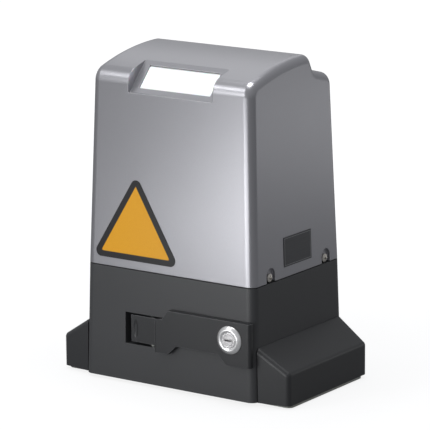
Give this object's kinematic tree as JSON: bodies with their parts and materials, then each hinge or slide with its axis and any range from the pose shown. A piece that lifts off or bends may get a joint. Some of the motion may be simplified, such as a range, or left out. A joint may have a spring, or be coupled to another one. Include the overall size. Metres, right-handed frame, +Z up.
{
  "type": "sliding gate motor",
  "caption": "Sliding gate motor: lift-off cover with a lamp window, dark gearbox housing with foot covers, keyed release lever in front, toothed pinion and limit spring behind.",
  "frame": {"origin": "centre of the base plate's underside, on the mounting surface", "axes": "+Z up, -Y the front with the release lever, +Y the rack side, +X right seen from the front"},
  "size_m": [0.274, 0.205, 0.3301],
  "materials": {
    "grey_painted_abs": "satin",
    "dark_housing": "satin",
    "dark_plastic": "matte",
    "zinc_steel": "satin",
    "polished_chrome": "gloss",
    "opal_plastic": "gloss",
    "white_plastic": "matte",
    "yellow_vinyl": "gloss",
    "silver_label": "satin",
    "black_rubber": "matte",
    "bronze": "satin",
    "cast_aluminium": "satin",
    "lamination_steel": "matte",
    "copper_enamel": "gloss",
    "green_board": "satin",
    "board_parts": "matte",
    "green_terminal": "matte"
  },
  "bodies": {
    "base": {"base_plate": "zinc_steel", "board_bracket": "cast_aluminium", "board_fuse": "white_plastic", "board_relays": "board_parts", "cable_grommet": "black_rubber", "capacitor_clamp": "dark_plastic", "control_board": "green_board", "cover_screws": "zinc_steel", "cover_seal": "black_rubber", "fork_rod": "zinc_steel", "gearbox_lid": "cast_aluminium", "left_foot_cover": "dark_plastic", "lid_screws": "zinc_steel", "limit_switch_box": "dark_plastic", "limit_switch_lid": "dark_plastic", "limit_switches": "dark_plastic", "lower_housing": "dark_housing", "motor_bolts": "zinc_steel", "motor_cap": "cast_aluminium", "motor_capacitor": "white_plastic", "motor_flange": "cast_aluminium", "motor_frame": "cast_aluminium", "motor_lead": "black_rubber", "oil_seal": "black_rubber", "output_bearings": "polished_chrome", "radio_receiver": "green_board", "right_foot_cover": "dark_plastic", "stator_core": "lamination_steel", "stator_windings": "copper_enamel", "terminal_blocks": "green_terminal", "transformer_coil": "copper_enamel", "transformer_core": "lamination_steel", "worm_bearings": "polished_chrome"},
    "cover": {"top_cover": "grey_painted_abs", "lamp_lens": "opal_plastic", "lamp_reflector": "white_plastic", "lamp_board": "white_plastic", "triangle_plate": "yellow_vinyl", "rating_plate": "silver_label"},
    "lever": {"release_lever": "dark_plastic", "release_shaft": "zinc_steel", "lock_barrel": "polished_chrome"},
    "lock": {"lock_core": "polished_chrome", "lock_cam": "zinc_steel"},
    "fork": {"release_fork": "zinc_steel"},
    "clutch": {"clutch_ring": "zinc_steel"},
    "output": {"output_shaft": "zinc_steel", "shaft_keys": "zinc_steel", "shaft_spacer": "zinc_steel", "spring_collar": "zinc_steel", "clutch_spring": "zinc_steel", "output_pinion": "zinc_steel", "pinion_washer": "zinc_steel", "pinion_bolt": "zinc_steel", "worm_wheel": "bronze"},
    "rotor": {"worm_shaft": "polished_chrome", "rotor_core": "lamination_steel"},
    "limit": {"limit_shaft": "zinc_steel", "limit_hub": "dark_plastic", "limit_spring": "zinc_steel"}
  },
  "joints": [
    {"name": "cover_lift", "type": "slide", "parent": "base", "child": "cover", "axis": [0, 0, 1], "range_m": [0, 0.18]},
    {"name": "lever_swing", "type": "hinge", "parent": "base", "child": "lever", "pos_m": [-0.024, -0.0705, 0.0575], "axis": [0, 0, -1], "range_deg": [0, 90]},
    {"name": "lock_turn", "type": "hinge", "parent": "lever", "child": "lock", "pos_m": [0.078, -0.08, 0.0649], "axis": [0, -1, 0], "range_deg": [0, 90]},
    {"name": "fork_slide", "type": "slide", "parent": "base", "child": "fork", "axis": [0, 1, 0], "range_m": [0, 0.009]},
    {"name": "output_spin", "type": "hinge", "parent": "base", "child": "output", "pos_m": [0, 0, 0.064], "axis": [0, 1, 0], "continuous": true},
    {"name": "clutch_slide", "type": "slide", "parent": "output", "child": "clutch", "axis": [0, 1, 0], "range_m": [0, 0.009]},
    {"name": "rotor_spin", "type": "hinge", "parent": "base", "child": "rotor", "pos_m": [0.038, -0.014, 0.1], "axis": [0, 0, 1], "continuous": true},
    {"name": "limit_tilt", "type": "hinge", "parent": "base", "child": "limit", "pos_m": [0, 0.1, 0.114], "axis": [0, 1, 0], "range_deg": [-40, 40], "stiffness_Nm_per_rad": 0.2}
  ],
  "couplings": [
    {"joint": "fork_slide", "follows": "lever_swing", "m_per_rad": 0.00573},
    {"joint": "clutch_slide", "follows": "lever_swing", "m_per_rad": 0.00573},
    {"joint": "rotor_spin", "follows": "output_spin", "ratio": 40}
  ]
}
